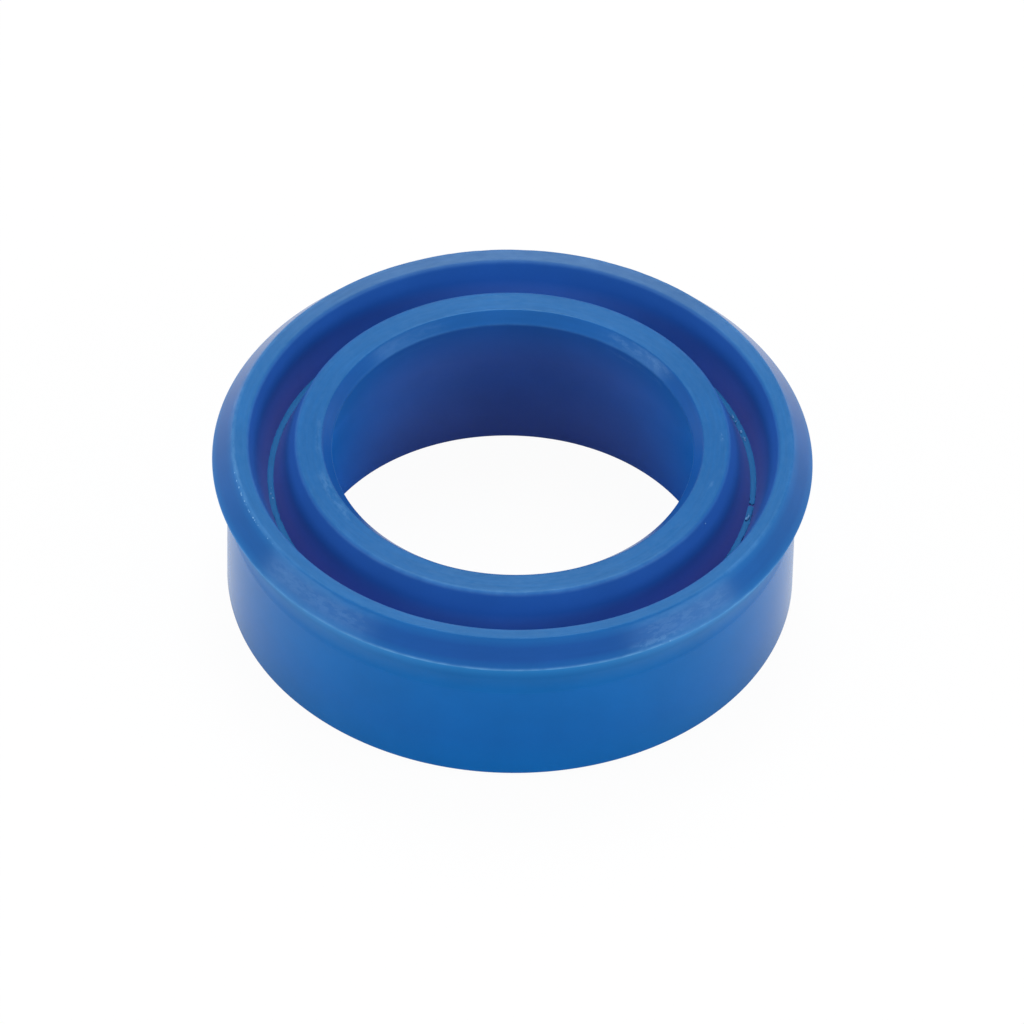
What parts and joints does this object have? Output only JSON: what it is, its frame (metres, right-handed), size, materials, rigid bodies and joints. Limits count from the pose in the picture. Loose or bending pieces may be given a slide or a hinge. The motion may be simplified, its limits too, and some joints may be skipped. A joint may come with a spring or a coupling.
{
  "type": "u cup seal",
  "caption": "Symmetric u cup lip seal: a ring with a flat heel, a body and flared inner and outer sealing lips with a v-shaped groove between them.",
  "frame": {"origin": "centre of the heel face, on the ring's axis", "axes": "+Z along the ring's axis, from the heel towards the lips; X and Y lie in the heel face"},
  "size_m": [0.031, 0.031, 0.01],
  "materials": {
    "polyurethane": "moulded polyurethane, satin blue"
  },
  "bodies": {
    "root": {"u_cup_seal": "polyurethane"}
  },
  "joints": []
}
